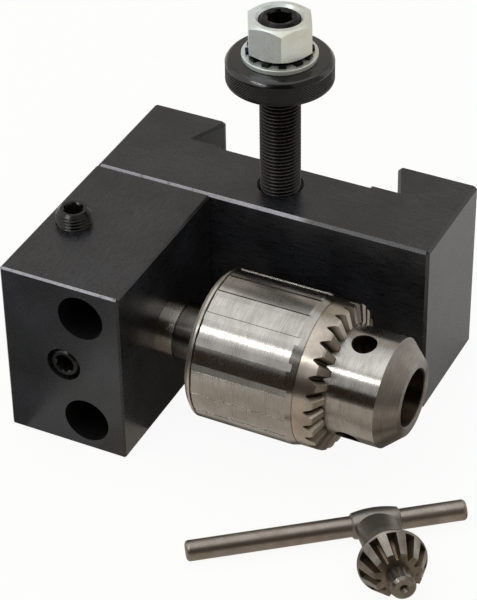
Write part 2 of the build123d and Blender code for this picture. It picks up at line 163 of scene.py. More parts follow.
@dataclass(frozen=True)
class Oxide:
    """Black oxide on milled steel: a thin oiled skin, so it shines like a dark dielectric.

    Its grain shows as faint streaks along the cutter's path and as a fine speckle, in wide clouds of wear.
    """

    body: str = "#0a0b0c"
    worn: str = "#2b2c30"
    roughness: float = 0.3
    lay: Lay = Lay.ALONG_X
    grain_mm: float = 0.5
    speckle_mm: float = 0.6
    cloud_mm: float = 22.0

    def coat(self, tree: Tree) -> Coat:
        """Adds the finish's own nodes.

        Args:
            tree: the material's tree.

        Returns:
            The finish's sockets.
        """
        place = add(tree, "TexCoord").outputs["Object"]
        along = tool_marks(tree, self.lay, self.grain_mm)
        streaks = add(tree, "TexNoise", {"Vector": along, "Scale": 1.0, "Detail": 3.0, "Roughness": 0.6})
        speckle = add(tree, "TexNoise", {"Vector": place, "Scale": 1 / (self.speckle_mm * MM), "Detail": 2.0})
        clouds = add(tree, "TexNoise", {"Vector": place, "Scale": 1 / (self.cloud_mm * MM), "Detail": 2.0})
        grain = add(tree, "Math", (streaks, speckle), operation="MULTIPLY")
        shade = add(tree, "Math", (grain, clouds), operation="MULTIPLY")
        wear = add(tree, "MapRange", (shade, 0.05, 0.22, 0.0, 1.0))
        colour = add(tree, "Mix", {0: wear, 6: linear(self.body), 7: linear(self.worn)}, data_type="RGBA")
        gloss = add(tree, "MapRange", (grain, 0.12, 0.4, self.roughness - 0.05, self.roughness + 0.07))
        return Coat(colour.outputs[2], gloss.outputs[0], 0.0, grain.outputs[0])


@dataclass(frozen=True)
class Steel:
    """Bare steel worked by a wheel or a cutter, with marks that follow its lay.

    The marks change its colour a little, its gloss more, and show as fine lines in a highlight.
    Shallow waves, as handling leaves them, make the edges of a reflection ragged.
    """

    light: str = "#b5b2ad"
    dark: str = "#9d9994"
    roughness: float = 0.26
    lay: Lay = Lay.ROUND_X
    waves: float = 1.0
    grain_mm: float = 0.35
    cloud_mm: float = 7.0
    wave_mm: float = 1.7
    gloss_spread: float = 0.05

    def coat(self, tree: Tree) -> Coat:
        """Adds the finish's own nodes.

        Args:
            tree: the material's tree.

        Returns:
            The finish's sockets.
        """
        place = add(tree, "TexCoord").outputs["Object"]
        along = tool_marks(tree, self.lay, self.grain_mm)
        marks = add(tree, "TexNoise", {"Vector": along, "Scale": 1.0, "Detail": 4.0, "Roughness": 0.65})
        clouds = add(tree, "TexNoise", {"Vector": place, "Scale": 1 / (self.cloud_mm * MM), "Detail": 3.0})
        both = add(tree, "Math", (marks, clouds), operation="ADD")
        tone = add(tree, "MapRange", (both, 0.75, 1.25, 0.0, 1.0))
        colour = add(tree, "Mix", {0: tone, 6: linear(self.dark), 7: linear(self.light)}, data_type="RGBA")
        dull, glossy = self.roughness + self.gloss_spread, self.roughness - self.gloss_spread
        gloss = add(tree, "MapRange", (both, 0.7, 1.3, dull, glossy))
        ripple = add(tree, "TexNoise", {"Vector": place, "Scale": 1 / (self.wave_mm * MM), "Detail": 2.0})
        height = add(tree, "Math", (ripple, self.waves, marks), operation="MULTIPLY_ADD")
        return Coat(colour.outputs[2], gloss.outputs[0], 1.0, height.outputs[0])


@dataclass(frozen=True)
class Zinc:
    """Clear zinc plate: pale grey in faint patches of blue and straw, with a painted reflection tint, bluer towards
    -X and straw towards +X.

    The film dulls the metal's mirror, so it counts as metal only in part, and its grain leaves small duller pits.
    """

    cool: str = "#e0ebee"
    warm: str = "#d0cfc0"
    pit: str = "#bcc0bb"
    roughness: float = 0.33
    metal: float = 0.66
    film_mm: float = 5.0
    grain_mm: float = 0.4
    tint_reach: float = 9 * MM

    def coat(self, tree: Tree) -> Coat:
        """Adds the finish's own nodes.

        Args:
            tree: the material's tree.

        Returns:
            The finish's sockets.
        """
        place = add(tree, "TexCoord").outputs["Object"]
        film = add(tree, "TexNoise", {"Vector": place, "Scale": 1 / (self.film_mm * MM), "Detail": 3.0})
        grain = add(tree, "TexNoise", {"Vector": place, "Scale": 1 / (self.grain_mm * MM), "Detail": 3.0})
        across = add(tree, "SeparateXYZ", {0: place})
        # Painted reflection tint: bluer towards -X and straw towards +X.
        side = add(tree, "MapRange", (across, -self.tint_reach, self.tint_reach, -0.3, 0.3))
        film_and_painted_tint = add(tree, "Math", (side, film), operation="ADD", use_clamp=True)
        plate = add(tree, "Mix", {0: film_and_painted_tint, 6: linear(self.cool), 7: linear(self.warm)}, data_type="RGBA")
        pits = edge(tree, grain, 0.5, 0.25)
        colour = add(tree, "Mix", {0: pits, 6: plate.outputs[2], 7: linear(self.pit)}, data_type="RGBA")
        gloss = add(tree, "MapRange", (grain, 0.3, 0.7, self.roughness - 0.06, self.roughness + 0.08))
        return Coat(colour.outputs[2], gloss.outputs[0], self.metal, grain.outputs[0])


Finish = Oxide | Steel | Zinc
Mask = Callable[[Tree], Socket]
Zone = tuple[Mask, Finish]


def blended(tree: Tree, mask: Socket, under: Coat, over: Coat) -> Coat:
    """Lays one finish over another where a mask is 1.

    Args:
        tree: the material's tree.
        mask: 0 keeps the finish below, 1 shows the one above.
        under: finish below.
        over: finish above.

    Returns:
        The mixed finish.
    """
    colour = add(tree, "Mix", {0: mask, 6: under.colour, 7: over.colour}, data_type="RGBA").outputs[2]
    pairs = ((under.roughness, over.roughness), (under.metal, over.metal), (under.height, over.height))
    return Coat(colour, *[add(tree, "Mix", {0: mask, 2: low, 3: high}).outputs[0] for low, high in pairs])


def material(
    name: str, base: Finish, zones: tuple[Zone, ...] = (), bump_um: float = 6.0, ior: float = 1.5, turned: float = 0.0
) -> Material:
    """Builds a material from a base finish and finishes laid over parts of it.

    Args:
        name: the material's name.
        base: finish of the whole piece.
        zones: pairs of a mask and the finish that shows where it is 1, the last on top.
        bump_um: height of the tool marks in micrometres.
        ior: refractive index of a finish that isn't metal.
        turned: how much more the marks round X blur a reflection along X than round it, from 0 to 1.

    Returns:
        The new material.
    """
    made = bpy.data.materials.new(name)
    tree = cleared(made)
    coat = base.coat(tree)
    for mask, finish in zones:
        coat = blended(tree, mask(tree), coat, finish.coat(tree))
    bump = add(tree, "Bump", {"Height": coat.height, "Strength": 1.0, "Distance": bump_um * MICRON})
    looks = {"Base Color": coat.colour, "Roughness": coat.roughness, "Metallic": coat.metal, "Normal": bump}
    shader = add(tree, "BsdfPrincipled", looks | {"IOR": ior, "Anisotropic": turned})
    if turned:
        around = add(tree, "Tangent", direction_type="RADIAL", axis="X")
        tree.links.new(around.outputs[0], shader.inputs["Tangent"])
        shader.inputs["Anisotropic Rotation"].default_value = 0.25
    add(tree, "OutputMaterial", {"Surface": shader})
    return made


def edge(tree: Tree, value: object, start: float, end: float) -> Socket:
    """Soft edge of a finish, from where it is absent to where it is whole.

    Args:
        tree: the material's tree.
        value: socket or node that is read.
        start: value at which the result is 0.
        end: value at which the result is 1, which may be the lower one.

    Returns:
        Socket from 0 to 1.
    """
    low, high, at_low = (start, end, 0.0) if start < end else (end, start, 1.0)
    wires = (value, low, high, at_low, 1.0 - at_low)
    return add(tree, "MapRange", wires, interpolation_type="SMOOTHSTEP").outputs[0]


def overlap(tree: Tree, *masks: Socket) -> Socket:
    """Mask of where several masks are all 1, as their product."""
    return reduce(lambda one, other: add(tree, "Math", (one, other), operation="MULTIPLY").outputs[0], masks)


def station_and_radius(tree: Tree, origin: Vector, direction: Vector) -> tuple[Socket, Socket]:
    """Distance along an axis and distance from it, in metres.

    Args:
        tree: the material's tree.
        origin: point on the axis where the distance along it is 0.
        direction: unit vector along the axis.

    Returns:
        Sockets of the distance along the axis and the distance from it.
    """
    place = add(tree, "TexCoord").outputs["Object"]
    offset = add(tree, "VectorMath", (place, origin), operation="SUBTRACT")
    along = add(tree, "VectorMath", (offset, direction), operation="DOT_PRODUCT").outputs["Value"]
    away = add(tree, "VectorMath", (offset, direction), operation="CROSS_PRODUCT")
    return along, add(tree, "VectorMath", {0: away}, operation="LENGTH").outputs["Value"]


def bored(hole: Vector, direction: Vector, radius: float) -> Mask:
    """Makes the mask of everything inside a round hole.

    Args:
        hole: point on the hole's axis at its mouth.
        direction: unit vector into the hole.
        radius: the hole's radius.

    Returns:
        Mask that is 1 inside the hole.
    """

    def mask(tree: Tree) -> Socket:
        """Takes what lies past the mouth and no farther from the axis than the wall."""
        along, away = station_and_radius(tree, hole, direction)
        wall = edge(tree, away, radius + 0.15 * MM, radius + 0.05 * MM)
        return overlap(tree, wall, edge(tree, along, 0.1 * MM, 0.4 * MM))

    return mask


def crests(foot: Vector, out: Vector, radius: float) -> Mask:
    """Makes the mask of a thread's crests, which rubbing wears first.

    Args:
        foot: point on the thread's axis.
        out: unit vector along it.
        radius: the thread's outer radius.

    Returns:
        Mask that is 1 on the crests.
    """

    def mask(tree: Tree) -> Socket:
        """Takes what lies close to the outer radius."""
        _, away = station_and_radius(tree, foot, out)
        return edge(tree, away, radius - 0.22 * MM, radius - 0.08 * MM)

    return mask


def dress(node: str, made: Material) -> None:
    """Gives a CAD node's object its material.

    Args:
        node: name of the CAD node.
        made: material for all its slots.
    """
    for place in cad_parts[node].material_slots:
        place.material = made
    LOG.info("dressed %s", node)


# Meshes that Geometry Nodes grow


def new_tree(name: str, lengths: tuple[str, ...], counts: tuple[str, ...]) -> tuple[Tree, Node]:
    """Starts a geometry tree with named inputs, the last of which is its material.

    Args:
        name: the tree's name.
        lengths: names of the inputs that take a length or another number.
        counts: names of the inputs that take a whole number.

    Returns:
        The tree and its input node.
    """
    tree = bpy.data.node_groups.new(name, "GeometryNodeTree")
    tree.interface.new_socket(name="Geometry", in_out="OUTPUT", socket_type="NodeSocketGeometry")
    inputs = {"Geometry": "Geometry"} | dict.fromkeys(lengths, "Float") | dict.fromkeys(counts, "Int")
    for label, kind in (inputs | {"Material": "Material"}).items():
        tree.interface.new_socket(name=label, in_out="INPUT", socket_type="NodeSocket" + kind)
    return tree, add(tree, "NodeGroupInput")


def close_tree(tree: Tree, given: Node, skin: Node) -> Tree:
    """Ends a geometry tree: welds the skin's seams, makes it real and gives it its material.

    Args:
        tree: the geometry tree.
        given: its input node, with an input named Material.
        skin: node whose first output is the skin.

    Returns:
        The finished tree.
    """
    welded = add(tree, "GeometryNodeMergeByDistance", {"Geometry": skin, "Distance": SHEET_WELD})
    smooth = add(tree, "GeometryNodeSetShadeSmooth", {"Geometry": welded})
    real = add(tree, "GeometryNodeRealizeInstances", {"Geometry": smooth})
    painted = add(tree, "GeometryNodeSetMaterial", {"Geometry": real, "Material": given.outputs["Material"]})
    add(tree, "NodeGroupOutput", {"Geometry": painted})
    return tree


def unrolled_sheet(tree: Tree, columns: object, rows: object) -> tuple[Node, Socket, Socket]:
    """Flat grid that a tree wraps round an axis.

    Args:
        tree: the geometry tree.
        columns: faces along the sheet.
        rows: faces across it.

    Returns:
        The grid node, and sockets from 0 to 1 along and across it.
    """
    points = [add(tree, "Math", (count, 1.0), operation="ADD") for count in (columns, rows)]
    grid = add(tree, "GeometryNodeMeshGrid", (1.0, 1.0, *points))
    place = add(tree, "SeparateXYZ", {0: add(tree, "GeometryNodeInputPosition")})
    along, across = [add(tree, "Math", (place.outputs[at], 0.5), operation="ADD") for at in (0, 1)]
    return grid, along.outputs[0], across.outputs[0]


def wrapped(tree: Tree, sheet: Node, turns: object, radius: object, height: object) -> Node:
    """Wraps a flat grid round Z.

    Args:
        tree: the geometry tree.
        sheet: the grid.
        turns: whole turns round Z at each point.
        radius: distance from Z at each point.
        height: place along Z at each point.

    Returns:
        Node that holds the wrapped skin.
    """
    angle = add(tree, "Math", (turns, tau), operation="MULTIPLY")
    waves = [add(tree, "Math", {0: angle}, operation=operation) for operation in ("COSINE", "SINE")]
    sides = [add(tree, "Math", (wave, radius), operation="MULTIPLY") for wave in waves]
    place = add(tree, "CombineXYZ", (*sides, height))
    return add(tree, "GeometryNodeSetPosition", {"Geometry": sheet, "Position": place})


def thread_tree() -> Tree:
    """Tree that grows a right-handed thread round Z, with chamfered ends.

    A sheet as long as the helix and one pitch wide is wound round Z, so each turn's edge meets the next one's.
    What passes an end is folded onto that end's rim, and the weld removes it.

    Returns:
        The geometry tree.
    """
    lengths = ("pitch", "radius", "depth", "length", "foot_rim", "head_rim")
    tree, given = new_tree("cut_thread", lengths, ("turns", "segments", "rows"))
    size = given.outputs
    columns = add(tree, "Math", (size["turns"], size["segments"]), operation="MULTIPLY")
    sheet, along, across = unrolled_sheet(tree, columns, size["rows"])
    turns = add(tree, "Math", (along, size["turns"]), operation="MULTIPLY")
    climb = add(tree, "Math", (turns, across), operation="ADD")
    from_start = add(tree, "Math", (climb, 1.0), operation="SUBTRACT")
    free = add(tree, "Math", (from_start, size["pitch"]), operation="MULTIPLY")
    height = add(tree, "Clamp", (free, 0.0, size["length"]))
    # Across the pitch the profile has a flat root, a straight flank each side and a flat crest.
    root_flat, flank_end = 0.15, 0.85
    middle = add(tree, "Math", (across, 2.0, -1.0), operation="MULTIPLY_ADD")
    from_root = add(tree, "Math", {0: middle}, operation="ABSOLUTE")
    flank = add(tree, "MapRange", (from_root, root_flat, flank_end, -1.0, 0.0))
    cut = add(tree, "Math", (flank, size["depth"], size["radius"]), operation="MULTIPLY_ADD")
    below = add(tree, "Math", (size["length"], height), operation="SUBTRACT")
    foot_chamfer = add(tree, "Math", (height, size["foot_rim"]), operation="ADD")
    head_chamfer = add(tree, "Math", (below, size["head_rim"]), operation="ADD")
    chamfer = add(tree, "Math", (foot_chamfer, head_chamfer), operation="MINIMUM")
    radius = add(tree, "Math", (cut, chamfer), operation="MINIMUM")
    return close_tree(tree, given, wrapped(tree, sheet, turns, radius, height))


def knurl_tree() -> Tree:
    """Tree that grows a band of diamond knurling round Z, which fades out at both rims.

    Returns:
        The geometry tree.
    """
    lengths = ("radius", "knurl_depth", "knurl_foot", "knurl_top", "knurl_fade", "diamonds_up")
    tree, given = new_tree("diamond_knurl", lengths, ("diamonds_round", "columns", "rows"))
    size = given.outputs
    sheet, along, across = unrolled_sheet(tree, size["columns"], size["rows"])
    tall = add(tree, "Math", (size["knurl_top"], size["knurl_foot"]), operation="SUBTRACT")
    height = add(tree, "Math", (across, tall, size["knurl_foot"]), operation="MULTIPLY_ADD")
    rise = add(tree, "Math", (across, size["diamonds_up"]), operation="MULTIPLY")
    run = add(tree, "Math", (along, size["diamonds_round"]), operation="MULTIPLY")
    slants = [add(tree, "Math", (run, rise), operation=operation) for operation in ("ADD", "SUBTRACT")]
    ridges = [add(tree, "Math", (slant, 0.5), operation="PINGPONG") for slant in slants]
    peak = add(tree, "Math", tuple(ridges), operation="MINIMUM")
    # The V of a groove takes four fifths of the way to a diamond's flat top.
    groove = add(tree, "MapRange", (peak, 0.0, 0.4, 1.0, 0.0))
    above = add(tree, "Math", (height, size["knurl_foot"]), operation="SUBTRACT")
    below = add(tree, "Math", (size["knurl_top"], height), operation="SUBTRACT")
    nearer = add(tree, "Math", (above, below), operation="MINIMUM")
    faded = add(tree, "Math", (nearer, size["knurl_fade"]), operation="DIVIDE", use_clamp=True)
    cut = add(tree, "Math", (groove, faded), operation="MULTIPLY")
    deep = add(tree, "Math", (cut, size["knurl_depth"]), operation="MULTIPLY")
    radius = add(tree, "Math", (size["radius"], deep), operation="SUBTRACT")
    return close_tree(tree, given, wrapped(tree, sheet, along, radius, height))


def grown(tree: Tree, values: dict[str, object]) -> bpy.types.Mesh:
    """Runs a geometry tree once and keeps its result as a plain mesh.

    Args:
        tree: the geometry tree.
        values: a value for each of its named inputs, among others that it doesn't have.

    Returns:
        The baked mesh.
    """
    holder = bpy.data.objects.new("grower", bpy.data.meshes.new("grower"))
    bpy.context.scene.collection.objects.link(holder)
    modifier = holder.modifiers.new("grow", "NODES")
    modifier.node_group = tree
    for item in tree.interface.items_tree:
        if item.in_out == "INPUT" and item.name in values:
            modifier[item.identifier] = values[item.name]
    bpy.context.view_layer.update()
    seen = holder.evaluated_get(bpy.context.evaluated_depsgraph_get())
    mesh = bpy.data.meshes.new_from_object(seen)
    holder.modifiers.remove(modifier)
    bpy.data.objects.remove(holder)
    return mesh


def skin_rows(rows: list[np.ndarray], tip: bool) -> Skin:
    """Joins rings of points into a skin.

    Args:
        rows: rings with the same number of points, each ring an array of points.
        tip: closes the last ring with a face.

    Returns:
        The skin.
    """
    made = bmesh.new()
    rings = [[made.verts.new(point) for point in row] for row in rows]
    for first, second in zip(rings, rings[1:]):
        count = len(first)
        for at in range(count):
            after = (at + 1) % count
            made.faces.new((first[at], first[after], second[after], second[at]))
    if tip:
        made.faces.new(rings[-1])
    return made


def ring(reach: float | np.ndarray, height: float, count: int) -> np.ndarray:
    """Ring of points round Z, at one reach or one each, and at a height along Z."""
    angle = np.arange(count) * tau / count
    return np.stack([reach * np.cos(angle), reach * np.sin(angle), np.full(count, height)], axis=1)


def hexagon(flats: float, height: float, count: int) -> np.ndarray:
    """Ring of points on a hexagon round Z, sized across its flats, at a height along Z."""
    angle = np.arange(count) * tau / count
    return ring(flats / 2 / np.cos(np.mod(angle, pi / 3) - pi / 6), height, count)


def as_piece(name: str, meshes: list, place: Matrix, made: Material, body: str) -> bpy.types.Object:
    """Welds meshes into one piece, puts it in its place and lets it ride on its body.

    Args:
        name: the piece's name.
        meshes: meshes or bmeshes that share rims.
        place: where the piece goes, which is put in its points.
        made: its material.
        body: the CAD body that it moves with.

    Returns:
        The piece's object.
    """
    whole = bmesh.new()
    for part in meshes:
        loose = part
        if isinstance(part, Skin):
            loose = bpy.data.meshes.new("part")
            part.to_mesh(loose)
            part.free()
        whole.from_mesh(loose)
        bpy.data.meshes.remove(loose)
    bmesh.ops.remove_doubles(whole, verts=whole.verts, dist=PIECE_WELD)
    bmesh.ops.recalc_face_normals(whole, faces=whole.faces)
    whole.transform(place)
    for face in whole.faces:
        face.smooth = True
        face.material_index = 0
    mesh = bpy.data.meshes.new(name)
    whole.to_mesh(mesh)
    whole.free()
    mesh.materials.append(made)
    mesh.set_sharp_from_angle(angle=CREASE)
    piece = bpy.data.objects.new(name, mesh)
    bpy.context.scene.collection.objects.link(piece)
    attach(piece, body)
    LOG.info("built %s with %d faces", name, len(mesh.polygons))
    return piece


# Sub-assemblies


@dataclass
class ThreadedPiece:
    """Threaded rod with chamfered ends and a hex socket in its outer end."""

    name: str
    node: str
    body: str
    slot: str
    radius: float
    pitch: float
    depth: float
    foot_rim: float
    head_rim: float
    socket_flats: float
    socket_depth: float
    out: Vector = field(default_factory=lambda: UP)
    socket_edge: float = 0.12 * MM
    socket_chamfer: float = 0.55 * MM
    drill_share: float = 0.3
    drill_point: float = 0.6 * MM
    segments: int = 48
    rows: int = 8
    length: float = field(init=False)
    foot: Vector = field(init=False)

    def __post_init__(self) -> None:
        """Reads the rod's length and its foot's place from its CAD node."""
        low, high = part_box(self.node)
        self.length = abs((high - low).dot(self.out))
        self.foot = (low + high) / 2 - self.out * self.length / 2

    def cap(self, end: RodEnd) -> Skin:
        """Builds the skin that closes one end.

        Args:
            end: what that end has.

        Returns:
            The skin, round Z, with the rod's foot at 0.
        """
        count = self.segments
        if end is RodEnd.FLAT_POINT:
            return skin_rows([ring(self.foot_rim, 0.0, count), ring(self.foot_rim / 2, 0.0, count)], tip=True)
        top = self.length
        corner = self.socket_flats / 2 / cos(pi / 6)
        floor = top - self.socket_depth
        rows = [
            ring(self.head_rim, top, count),
            ring(corner + self.socket_edge, top, count),
            hexagon(self.socket_flats, top - self.socket_chamfer, count),
            hexagon(self.socket_flats, floor, count),
            ring(self.socket_flats * self.drill_share, floor - self.drill_point, count),
        ]
        return skin_rows(rows, tip=True)

    def build(self, tree: Tree, made: Material) -> None:
        """Builds the piece in place of its CAD node.

        Args:
            tree: tree that grows the thread.
            made: material of the piece.
        """
        # One spare turn passes each end, and the tree folds it onto the rim.
        values = vars(self) | {"turns": ceil(self.length / self.pitch) + 2, "Material": made}
        place = Matrix.Translation(self.foot) @ self.out.to_track_quat("Z", "X").to_matrix().to_4x4()
        caps = [self.cap(end) for end in RodEnd]
        piece = as_piece(self.name, [grown(tree, values), *caps], place, made, self.body)
        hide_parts(self.node)


@dataclass
class KnurledNut:
    """Round stop nut with a broken upper rim, a diamond knurl on its side and a chamfered bore.

    The rim's profile is a run of short lengths in mm, each with the rise of its normal in degrees.
    """

    foot: Vector
    radius: float
    height: float
    bore: float
    bore_chamfer: float = 0.7 * MM
    rim: tuple[tuple[float, float], ...] = ((0.25, 18), (0.25, 32), (1.1, 38), (0.35, 50), (0.4, 66), (0.4, 82))
    foot_round: float = 0.8 * MM
    foot_steps: int = 7
    knurl_depth: float = 0.32 * MM
    knurl_fade: float = 0.5 * MM
    diamonds_round: int = 112
    diamonds_up: float = 6.0
    steps_per_diamond: int = 4
    rows: int = 36

    def knurl_top(self) -> float:
        """Height at which the knurl ends and the rim starts."""
        return self.height - sum(length * MM * cos(radians(rise)) for length, rise in self.rim)

    def body_skin(self) -> Skin:
        """Builds everything but the knurled band.

        Returns:
            The skin, round Z, with the nut's underside at 0.
        """
        across, up = self.radius, self.knurl_top()
        profile = [(across, up)]
        for length, rise in self.rim:
            across -= length * MM * sin(radians(rise))
            up += length * MM * cos(radians(rise))
            profile.append((across, up))
        wide = self.bore + self.bore_chamfer
        profile += [
            (wide, self.height),
            (self.bore, self.height - self.bore_chamfer),
            (self.bore, self.bore_chamfer),
            (wide, 0.0),
        ]
        foot = self.foot_round
        turn = np.linspace(pi / 2, 0.0, self.foot_steps)
        profile += [(self.radius - foot + foot * cos(a), foot - foot * sin(a)) for a in turn]
        count = self.diamonds_round * self.steps_per_diamond
        return skin_rows([ring(across, up, count) for across, up in profile], tip=False)

    def build(self, tree: Tree, made: Material) -> None:
        """Builds the nut in place of its CAD node.

        Args:
            tree: tree that grows the knurl.
            made: material of the nut.
        """
        ends = {"knurl_foot": self.foot_round, "knurl_top": self.knurl_top()}
        values = vars(self) | ends | {"columns": self.diamonds_round * self.steps_per_diamond, "Material": made}
        skins = [self.body_skin(), grown(tree, values)]
        piece = as_piece("stop_nut", skins, Matrix.Translation(self.foot), made, "height_nut")
        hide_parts("knurled_nut")


@dataclass
class Blocks:
    """Dovetail block and bolted arm, with the two cap screws deep in the arm."""

    head_radius: float = 8.0 * MM
    counterbore_radius: float = 8.4 * MM
    rubbed_to: float = 14 * MM
    rubbed_fade: float = 6 * MM
    rubbed_gap_mm: float = 2.6
    bump_um: float = 3.0

    def rubbed_edges(self, tree: Tree) -> Socket:
        """Mask of a painted highlight on the front top edges, from the arm's side to past the stud but for gaps.

        Args:
            tree: the material's tree.

        Returns:
            1 where the highlight is painted.
        """
        place = add(tree, "TexCoord").outputs
        along = add(tree, "SeparateXYZ", {0: place["Object"]})
        highlight_stretch = edge(tree, along, self.rubbed_to + self.rubbed_fade, self.rubbed_to)
        # Painted highlight: only edges that face forwards and up get it.
        outward = Vector((0, -1, 1)).normalized()
        facing = add(tree, "VectorMath", (place["Normal"], outward), operation="DOT_PRODUCT").outputs["Value"]
        scale = 1 / (self.rubbed_gap_mm * MM)
        gaps = add(tree, "TexNoise", {"Vector": place["Object"], "Scale": scale, "Detail": 3.0})
        return overlap(tree, edge(tree, facing, 0.93, 0.97), edge(tree, gaps, 0.22, 0.4), highlight_stretch)

    def counterbores(self) -> list[Zone]:
        """Pairs the mask of each counterbore with its painted shade.

        Returns:
            The two pairs.
        """
        # Painted shade in the counterbores: near-black, dull oxide on the walls, so that a hole reads as deep and
        # black.
        dull = Oxide("#070707", "#0d0d0d", 0.5, Lay.EVEN)
        low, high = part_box("arm_screws")
        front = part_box("chuck_arm")[0].y
        return [
            (bored(Vector(((low.x + high.x) / 2, front, height)), Vector((0, 1, 0)), self.counterbore_radius), dull)
            for height in (low.z + self.head_radius, high.z - self.head_radius)
        ]

    def dress(self) -> None:
        """Gives both blocks black oxide with a painted highlight along their front edges, and the screws a darker
        one.
        """
        # Painted highlight: a thin grey line on the edges that face forwards and up, which breaks up along the edge,
        # and no mirror.
        wear_and_highlight = (self.rubbed_edges, Oxide("#807f85", "#a9a8af", 0.4, Lay.EVEN))
        # Milled faces under oxide: black, with a soft shine and faint streaks along each block.
        for node, lay, zones in (
            ("dovetail_block", Lay.ALONG_X, (wear_and_highlight,)),
            ("chuck_arm", Lay.ALONG_Y, (wear_and_highlight, *self.counterbores())),
        ):
            dress(node, material("black_oxide_" + node, Oxide(lay=lay), zones, bump_um=self.bump_um))
        # Oiled screw heads at the bottom of their holes: almost black, with a faint rim.
        screws = Oxide("#0a0a0b", "#161617", 0.34, Lay.ROUND_X)
        dress("arm_screws", material("black_oxide_cap_screws", screws, ior=1.42))


@dataclass
class SetScrew(ThreadedPiece):
    """Set screw that locks the arbor."""

    slot: str = "black_screw"
    radius: float = 6.3 * MM
    pitch: float = 1.27 * MM
    depth: float = 0.62 * MM
    foot_rim: float = 5.2 * MM
    head_rim: float = 4.6 * MM
    socket_flats: float = 6.1 * MM
    socket_depth: float = 5.4 * MM


@dataclass
class SetScrews:
    """The two set screws, in the arm's top and in its front."""

    def build(self, tree: Tree) -> None:
        """Builds both screws with their threads and sockets.

        Args:
            tree: tree that grows the thread.
        """
        # Oxide on a rolled thread: black, with a small sharp glint on each crest.
        oxide = Oxide("#060606", "#181715", 0.24, Lay.EVEN)
        made = material("black_oxide_set_screws", oxide, ior=1.42)
        for side, out in (("top_set", UP), ("front_set", Vector((0, -1, 0)))):
            SetScrew(name=side + "_thread", node=side + "_screw", body=side, out=out).build(tree, made)


@dataclass
class HeightStud(ThreadedPiece):
    """Stud that carries the stop nut, as thick as its CAD node."""

    name: str = "stud_thread"
    node: str = "height_stud"
    body: str = "holder"
    slot: str = "black_stud"
    radius: float = field(init=False)
    pitch: float = 25.4 / 18 * MM
    depth: float = 0.85 * MM
    foot_rim: float = 6.0 * MM
    head_rim: float = 5.9 * MM
    socket_flats: float = 7.94 * MM
    socket_depth: float = 6.4 * MM

    def __post_init__(self) -> None:
        """Reads its radius from its CAD node."""
        super().__post_init__()
        low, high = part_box(self.node)
        self.radius = (high.x - low.x) / 2


@dataclass
class HeightStack:
    """Height stud with its knurled stop nut, washers and lock nut."""

    nut_bore: float = 7.225 * MM

    def build(self, thread: Tree, knurl: Tree) -> None:
        """Builds the stud and the knurled nut, and dresses the rest.

        Args:
            thread: tree that grows the thread.
            knurl: tree that grows the knurl.
        """
        stud = HeightStud()
        # Oiled oxide: brown-black between the crests, and a worn brown-grey line on each.
        oxide = Oxide("#030303", "#12100e", 0.26, Lay.EVEN)
        wear_and_highlight = Oxide("#23201c", "#4b453e", 0.28, Lay.EVEN)
        zones = ((crests(stud.foot, UP, stud.radius), wear_and_highlight),)
        stud.build(thread, material("black_oxide_stud", oxide, zones, ior=1.3))
        # Oxide over a polished turning: deep black, with one soft highlight on the rim.
        polished = Oxide("#020202", "#080809", 0.2, Lay.EVEN)
        low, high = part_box("knurled_nut")
        KnurledNut(
            foot=Vector((stud.foot.x, stud.foot.y, low.z)),
            radius=(high.x - low.x) / 2,
            height=high.z - low.z,
            bore=self.nut_bore,
        ).build(knurl, material("black_oxide_stop_nut", polished, ior=1.6))
        for node in ("flat_washer", "hex_nut"):
            dress(node, material("zinc_plated_" + node, Zinc(), bump_um=5.0))
        # Painted shade: dark spring steel teeth, so that they read as shaded gaps under the bright nut.
        painted_gap_shade = Steel("#2c302f", "#121515", 0.3, Lay.EVEN)
        dress("lock_washer", material("lock_washer_painted_shade", painted_gap_shade))


@dataclass
class Arbor:
    """Arbor, bright on its ground shank and dark on its neck."""

    shank_show: float = 6.4 * MM

    def neck(self, tree: Tree) -> Socket:
        """Mask of everything past the shank's step."""
        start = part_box("chuck_arm")[1].x + self.shank_show
        return edge(tree, station_and_radius(tree, Vector(), ALONG_CHUCK)[0], start - EDGE, start + EDGE)

    def dress(self) -> None:
        """Dresses the shank and the neck."""
        # Ground shank: pale and warm, with reflections drawn out along it.
        shank = Steel("#d2ccc1", "#b3ada3", 0.28)
        # Neck as it came from hardening: darker and duller.
        dark = Steel("#6b6763", "#4c4947", 0.36)
        dress("chuck_arbor", material("ground_steel_arbor", shank, ((self.neck, dark),), turned=0.7))


